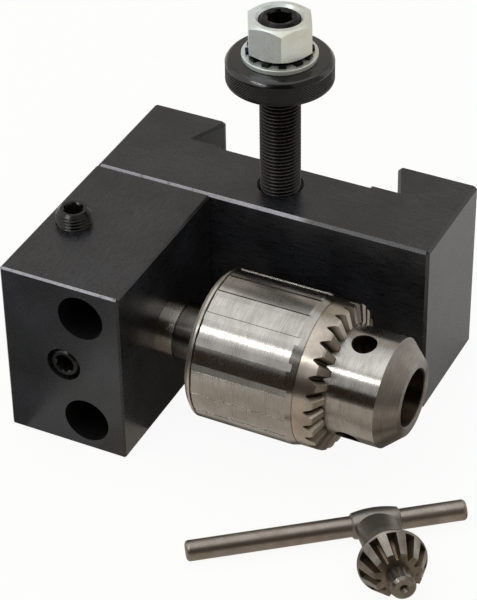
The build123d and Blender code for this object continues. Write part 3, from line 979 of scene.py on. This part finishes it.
@dataclass
class Chuck:
    """Drill chuck: body, sleeve with bevel teeth, jaws and split nut."""

    seam_from_front: float = 32.7 * MM
    key_hole_from_front: float = 16.8 * MM
    bevel_length: float = 6.3 * MM
    flange_thickness: float = 3.0 * MM
    ring_radius: float = 25.4 * MM
    tip_slope: float = 0.335
    tip_radius: float = 25.1 * MM
    back_slope: float = 11 / 26
    nose_radius: float = 19.05 * MM
    mouth_radius: float = 10.4 * MM
    axis: Vector = field(init=False)
    seam: float = field(init=False)
    key_station: float = field(init=False)
    bevel_start: float = field(init=False)

    def __post_init__(self) -> None:
        """Reads the chuck's place and length from its CAD node, and counts stations from its back face."""
        low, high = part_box("chuck_body")
        length = high.x - low.x
        self.axis = Vector((low.x, (low.y + high.y) / 2, (low.z + high.z) / 2))
        self.seam = length - self.seam_from_front
        self.key_station = length - self.key_hole_from_front
        self.bevel_start = length - self.bevel_length

    def polar(self, tree: Tree) -> tuple[Socket, Socket]:
        """Station from the chuck's back face and radius from its axis."""
        return station_and_radius(tree, self.axis, ALONG_CHUCK)

    def flange(self, tree: Tree) -> Socket:
        """Mask of the thin flange behind the sleeve."""
        return edge(tree, self.polar(tree)[0], self.flange_thickness + EDGE, self.flange_thickness - EDGE)

    def bevel(self, tree: Tree) -> Socket:
        """Mask of the turned bevel and front face of the nose."""
        return edge(tree, self.polar(tree)[0], self.bevel_start - EDGE / 2, self.bevel_start + EDGE / 2)

    def toothed(self, tree: Tree) -> Socket:
        """Mask of the toothed end of the sleeve, past its seam."""
        return edge(tree, self.polar(tree)[0], self.seam - EDGE, self.seam + EDGE)

    def fluted(self, tree: Tree) -> Socket:
        """Mask of the fluted part of the sleeve, behind its seam."""
        return edge(tree, self.polar(tree)[0], self.seam, self.seam - 2 * EDGE)

    def hollows(self, tree: Tree) -> Socket:
        """Mask of the painted shade on the key holes' walls and on everything inside the chuck's mouth.

        Args:
            tree: the material's tree.

        Returns:
            1 inside them.
        """
        along, radius = self.polar(tree)
        behind_bevel = edge(tree, along, self.bevel_start, self.bevel_start - 0.3 * MM)
        under = edge(tree, radius, self.nose_radius - 0.1 * MM, self.nose_radius - 0.5 * MM)
        holes = overlap(tree, behind_bevel, under)
        mouth = edge(tree, radius, self.mouth_radius, self.mouth_radius - 0.3 * MM)
        return add(tree, "Math", (holes, mouth), operation="MAXIMUM").outputs[0]

    def tooth_spaces(self, tree: Tree) -> Socket:
        """Mask of the painted shade in the spaces between the sleeve's teeth, deepest at their floors.

        Args:
            tree: the material's tree.

        Returns:
            1 at a space's floor.
        """
        along, radius = self.polar(tree)
        # The teeth run to one apex where the key's axis meets the chuck's, so a slope from there tells tip and floor.
        reach = add(tree, "Math", (self.key_station, along), operation="SUBTRACT")
        slope = add(tree, "Math", (reach, radius), operation="DIVIDE")
        floors = edge(tree, slope, self.tip_slope + 0.03, self.tip_slope + 0.11)
        # The teeth were cut from a ring with a cone in front of it, and the painted shade stays under that skin.
        cone = self.key_station - self.tip_slope * self.tip_radius
        past = add(tree, "Math", (along, cone), operation="SUBTRACT")
        back_cone = add(tree, "Math", (past, -self.back_slope, self.tip_radius), operation="MULTIPLY_ADD")
        skin = add(tree, "Math", (back_cone, self.ring_radius), operation="MINIMUM")
        depth = add(tree, "Math", (skin, radius), operation="SUBTRACT")
        inside = edge(tree, depth, 0.1 * MM, 0.6 * MM)
        return overlap(tree, floors, inside, edge(tree, along, self.seam + 0.6 * MM, self.seam + 0.7 * MM))

    def faces_round(self, tree: Tree) -> Socket:
        """How far the surface faces round the axis, where 1 is from the crown towards the front.

        Args:
            tree: the material's tree.

        Returns:
            Socket from -1 to 1.
        """
        place = add(tree, "TexCoord").outputs
        offset = add(tree, "VectorMath", (place["Object"], self.axis), operation="SUBTRACT")
        round_axis = add(tree, "VectorMath", (ALONG_CHUCK, offset), operation="CROSS_PRODUCT")
        unit = add(tree, "VectorMath", {0: round_axis}, operation="NORMALIZE")
        return add(tree, "VectorMath", (unit, place["Normal"]), operation="DOT_PRODUCT").outputs["Value"]

    def oily_walls(self, tree: Tree) -> Socket:
        """Mask of the flutes' walls that face forwards and not up, where shade is painted.

        Args:
            tree: the material's tree.

        Returns:
            1 on those walls.
        """
        upward = add(tree, "SeparateXYZ", {0: add(tree, "TexCoord").outputs["Normal"]}).outputs[2]
        forward = edge(tree, self.faces_round(tree), 0.5, 0.8)
        return overlap(tree, forward, edge(tree, upward, 0.35, 0.2), self.fluted(tree))

    def rubbed_walls(self, tree: Tree) -> Socket:
        """Mask of the flutes' other walls, where a highlight is painted."""
        return overlap(tree, edge(tree, self.faces_round(tree), -0.4, -0.7), self.fluted(tree))

    def dress(self) -> None:
        """Dresses the whole chuck."""
        # Ground round the axis: bright bands along the chuck, blurred lengthwise.
        ground = Steel()
        # Turned bevel and face: darker and duller, with fine rings.
        turned = Steel("#a19c95", "#89847c", 0.46)
        # Painted shade in the mouth and the key holes: brown-black, so that they read as deep.
        painted_hollow_shade = Steel("#5a4e41", "#33291f", 0.45, Lay.EVEN)
        # Cut rim of the flange: a pale, matt line.
        rim = Steel("#d3cdc4", "#a59d92", 0.42, Lay.EVEN)
        zones = ((self.bevel, turned), (self.hollows, painted_hollow_shade), (self.flange, rim))
        dress("chuck_body", material("turned_steel_chuck_body", ground, zones, turned=0.9))
        # Hardened and blasted teeth: pale, warm and matt.
        sandy = Steel("#c6bdb1", "#a59c90", 0.36, Lay.EVEN, waves=0.3)
        # Painted shade on the flutes' down-facing walls and in the tooth spaces: brown and dull.
        grease_and_shade = Steel("#665d53", "#3f3830", 0.4, Lay.EVEN)
        # Painted highlight: nearly white lines along the flutes, on the walls that face back round the axis.
        bright = Steel("#f2efea", "#dedad3", 0.5, Lay.EVEN, waves=0.0)
        zones = (
            (self.oily_walls, grease_and_shade),
            (self.rubbed_walls, bright),
            (self.toothed, sandy),
            (self.tooth_spaces, grease_and_shade),
        )
        dress("chuck_sleeve", material("ground_steel_sleeve", ground, zones, turned=0.9))
        # Ground jaws: grey, with lines along their length.
        hard = Steel("#7e7c79", "#5f5d5b", 0.32, Lay.ALONG_X)
        jaws = material("hardened_steel_jaws", hard)
        for node in ("jaw_1", "jaw_2", "jaw_3"):
            dress(node, jaws)
        # The split nut inside the chuck gets the same painted shade.
        split_nut = material("split_nut_painted_shade", painted_hollow_shade)
        for node in ("nut_half_a", "nut_half_b"):
            dress(node, split_nut)


@dataclass
class ChuckKey:
    """Loose chuck key: drawn bar, forged head and cut pinion."""

    place: Vector = field(default_factory=lambda: Vector((73.7, -87.8, 5.22)) * MM)
    heading: float = radians(35.7)
    rim_station: float = 26.0 * MM
    gear_outer: float = 27.4 * MM
    gear_inner: float = 18.6 * MM
    tip_slope: float = 0.42
    head_radius: float = 5.2 * MM
    towards: Vector = field(init=False)

    def __post_init__(self) -> None:
        """Works out how the key leans on the floor, on its head and its gear's rim, and so where its pilot points."""
        rim = Vector((self.rim_station, self.tip_slope * self.gear_outer))
        tilt = Vector((1, 0)).angle(rim) - asin(self.head_radius / rim.length)
        self.towards = Vector((sin(self.heading) * cos(tilt), -cos(self.heading) * cos(tilt), sin(tilt)))

    def geared(self, tree: Tree) -> Socket:
        """Mask of the pinion and pilot, past the key's neck."""
        along, _ = station_and_radius(tree, self.place, self.towards)
        return edge(tree, along, self.rim_station - 2.2 * MM, self.rim_station - 1.2 * MM)

    def tooth_spaces(self, tree: Tree) -> Socket:
        """Mask of the spaces between the pinion's teeth.

        Args:
            tree: the material's tree.

        Returns:
            1 at a space's floor.
        """
        along, radius = station_and_radius(tree, self.place, self.towards)
        apex = self.rim_station + self.gear_outer
        reach = add(tree, "Math", (apex, along), operation="SUBTRACT")
        slope = add(tree, "Math", (radius, reach), operation="DIVIDE")
        floors = edge(tree, slope, self.tip_slope - 0.006, self.tip_slope - 0.05)
        small_end = apex - self.gear_inner
        within = edge(tree, along, small_end + EDGE, small_end - EDGE)
        return overlap(tree, floors, edge(tree, along, self.rim_station, self.rim_station + 0.3 * MM), within)

    def dress(self) -> None:
        """Dresses the key's body and bar."""
        # Forged and tumbled head: an even, soft grey with no lines.
        forged = Steel("#a09c95", "#807b74", 0.42, Lay.EVEN)
        # Cut teeth: brighter and glossier, so that each tip catches the light.
        cut = Steel("#9a948c", "#5f5951", 0.3, Lay.EVEN)
        # Grease between the teeth: brown and dull.
        grease_and_shade = Steel("#92836f", "#5f5244", 0.45, Lay.EVEN)
        zones = ((self.geared, cut), (self.tooth_spaces, grease_and_shade))
        dress("key_body", material("forged_steel_key", forged, zones))
        # Drawn bar: smooth and warm grey, with one long highlight.
        drawn = Steel("#a8a097", "#8a8279", 0.38, Lay.EVEN, waves=0.4)
        dress("key_bar", material("drawn_steel_key_bar", drawn))


# Studio

Span = tuple[float, float]


@dataclass
class Studio:
    """Pale floor and backdrop, soft lamps and the camera of the photograph.

    Cards round the holder and on the floor only show in reflections, as the photograph's surroundings do.
    """

    camera_place: Vector = field(default_factory=lambda: Vector((300.16, -632.12, 540.98)) * MM)
    camera_aim: Vector = field(default_factory=lambda: Vector((-0.36017, 0.71246, -0.60223)))
    camera_roll: float = radians(-0.995)
    lens_mm: float = 145.33
    sensor_mm: float = 36.0
    middle: Vector = field(default_factory=lambda: Vector((0.0, -0.05, 0.035)))
    ambient: float = 0.8
    floor_reach: float = 3.0
    floor_drop: float = 0.2 * MM
    card_lift: float = 0.1 * MM
    seen_floor: float = 0.93
    reflected_floor: float = 0.15
    wall_reach: float = 0.6
    wall_columns: int = 25
    # Name, tone, turns from straight in front and rises above the chuck's axis in degrees.
    walls: tuple[tuple[str, str, Span, Span], ...] = (
        ("front_card", "#33271f", (-58, 50), (-4, 22)),
        ("side_card", "#a39c93", (-125, -58), (-4, 60)),
        ("back_card", "#cfc9c1", (95, 215), (8, 50)),
        ("room_card", "#33271f", (-58, 8), (22, 60)),
    )
    # Name, tone, and where it starts and ends along X and along Y.
    floor_cards: tuple[tuple[str, str, Span, Span], ...] = (
        ("chuck_card", "#c4bbb0", (-0.03, 0.4), (-0.6, -0.072)),
        ("arm_card", "#7d7d7d", (-0.4, -0.058), (-0.6, -0.085)),
        # The last two cards are a painted shadow: the floor under the chuck, darker in reflections.
        ("shade_card", "#4c4946", (-0.018, 0.01), (-0.072, -0.022)),
        ("underside_shadow_card", "#6f6963", (0.01, 0.12), (-0.072, -0.022)),
    )
    # Name, place from the holder's middle, width and height, and watts.
    softboxes: tuple[tuple[str, tuple[float, float, float], Span, float], ...] = (
        ("overhead_softbox", (-0.48, -0.13, 1.2), (1.0, 0.5), 0.8),
        ("key_softbox", (-0.31, -0.60, 0.74), (0.42, 0.06), 1.2),
        ("top_softbox", (0.0, 0.1, 1.6), (2.4, 2.0), 3.0),
    )

    def build_world(self) -> None:
        """Makes a white backdrop that lights the object at a plain level."""
        world = bpy.data.worlds.new("backdrop")
        bpy.context.scene.world = world
        tree = cleared(world)
        white = linear("#ffffff")
        path = add(tree, "LightPath").outputs
        first = add(tree, "Math", (path["Is Camera Ray"], path["Is Glossy Ray"]), operation="MAXIMUM")
        seen = add(tree, "Math", (first, path["Is Transmission Ray"]), operation="MAXIMUM")
        light = add(tree, "Background", {"Color": white, "Strength": self.ambient})
        shown = add(tree, "Background", {"Color": white, "Strength": 1.0})
        add(tree, "OutputWorld", {"Surface": add(tree, "MixShader", (seen, light, shown))})

    def build_floor(self) -> None:
        """Makes the floor, which looks white and keeps a faint shadow."""
        made = bpy.data.materials.new("white_floor")
        tree = cleared(made)
        matt = add(tree, "BsdfDiffuse", {"Color": linear("#efebe5")})
        glow = add(tree, "Emission", {"Color": linear("#ffffff"), "Strength": 1.0})
        path = add(tree, "LightPath").outputs
        straight = add(tree, "Math", (path["Is Camera Ray"], self.seen_floor), operation="MULTIPLY")
        bounced = add(tree, "Math", (path["Is Glossy Ray"], path["Is Transmission Ray"]), operation="MAXIMUM")
        share = add(tree, "Math", (bounced, self.reflected_floor, straight), operation="MULTIPLY_ADD")
        add(tree, "OutputMaterial", {"Surface": add(tree, "MixShader", (share, matt, glow))})
        span = (-self.floor_reach, self.floor_reach)
        self.sheet("floor", *self.rectangle(span, span, -self.floor_drop), made)

    def rectangle(self, across: Span, deep: Span, height: float) -> tuple[list, list]:
        """Corners and face of a level rectangle, from where it starts and ends along X and along Y."""
        corners = [(across[x], deep[y], height) for x, y in ((0, 0), (1, 0), (1, 1), (0, 1))]
        return corners, [(0, 1, 2, 3)]

    def wall(self, turns: Span, rises: Span) -> tuple[list, list]:
        """Points and faces of a curved wall round the holder.

        Args:
            turns: where it starts and ends, in degrees from straight in front towards the arm's side.
            rises: heights of its lower and upper edge, in degrees above the chuck's axis.

        Returns:
            Its points, and its faces by their numbers.
        """
        count, reach, middle = self.wall_columns, self.wall_reach, self.middle
        points = [
            (middle.x - reach * sin(turn), middle.y - reach * cos(turn), middle.z + reach * tan(radians(rise)))
            for rise in rises
            for turn in np.radians(np.linspace(*turns, count))
        ]
        return points, [(at, at + 1, count + at + 1, count + at) for at in range(count - 1)]

    def sheet(self, name: str, points: list, faces: list, made: Material) -> bpy.types.Object:
        """Makes one stage object.

        Args:
            name: its name.
            points: its corners.
            faces: the corners of each face, by number.
            made: its material.

        Returns:
            The stage object.
        """
        mesh = bpy.data.meshes.new(name)
        mesh.from_pydata(points, [], faces)
        mesh.materials.append(made)
        stage = bpy.data.objects.new(name, mesh)
        bpy.context.scene.collection.objects.link(stage)
        return stage

    def card(self, name: str, tone: str, points: list, faces: list) -> None:
        """Makes a plain card that only shows in reflections.

        Args:
            name: its name.
            tone: the colour that the metal mirrors.
            points: its corners.
            faces: the corners of each face, by number.
        """
        made = bpy.data.materials.new(name)
        tree = cleared(made)
        add(tree, "OutputMaterial", {"Surface": add(tree, "Emission", {"Color": linear(tone), "Strength": 1.0})})
        card = self.sheet(name, points, faces, made)
        card.visible_camera = card.visible_diffuse = card.visible_shadow = False

    def lamp(self, name: str, place: Vector, size: Span, watts: float) -> None:
        """Hangs one softbox that faces the holder.

        Args:
            name: its name.
            place: its middle.
            size: its width and height.
            watts: its power.
        """
        data = bpy.data.lights.new(name, "AREA")
        data.shape = "RECTANGLE"
        data.size, data.size_y = size
        data.energy = watts
        made = bpy.data.objects.new(name, data)
        made.location = place
        made.rotation_euler = (self.middle - place).to_track_quat("-Z", "Y").to_euler()
        bpy.context.scene.collection.objects.link(made)

    def build_camera(self) -> None:
        """Puts the camera where the photograph was taken from."""
        aim = self.camera_aim.normalized()
        level = aim.cross(UP).normalized()
        lift = level.cross(aim)
        right = level * cos(self.camera_roll) + lift * sin(self.camera_roll)
        up = right.cross(aim)
        data = bpy.data.cameras.new("camera")
        data.sensor_width = self.sensor_mm
        data.lens = self.lens_mm
        data.clip_start = 0.05
        data.clip_end = 20.0
        made = bpy.data.objects.new("camera", data)
        turn = Matrix((right, up, -aim)).transposed()
        made.matrix_world = Matrix.Translation(self.camera_place) @ turn.to_4x4()
        bpy.context.scene.collection.objects.link(made)
        bpy.context.scene.camera = made

    def build(self) -> None:
        """Builds the whole studio."""
        bpy.context.scene.view_settings.view_transform = "Standard"
        self.build_world()
        self.build_floor()
        for name, tone, turns, rises in self.walls:
            self.card(name, tone, *self.wall(turns, rises))
        for name, tone, across, deep in self.floor_cards:
            self.card(name, tone, *self.rectangle(across, deep, self.card_lift))
        for name, offset, size, watts in self.softboxes:
            self.lamp(name, self.middle + Vector(offset), size, watts)
        self.build_camera()


def main() -> None:
    """Builds and dresses the holder, one sub-assembly at a time."""
    logging.basicConfig(level=logging.INFO, format="%(name)s: %(message)s")
    thread = thread_tree()
    knurl = knurl_tree()
    Blocks().dress()
    SetScrews().build(thread)
    HeightStack().build(thread, knurl)
    Arbor().dress()
    Chuck().dress()
    ChuckKey().dress()
    Studio().build()


if __name__ == "__main__":
    main()
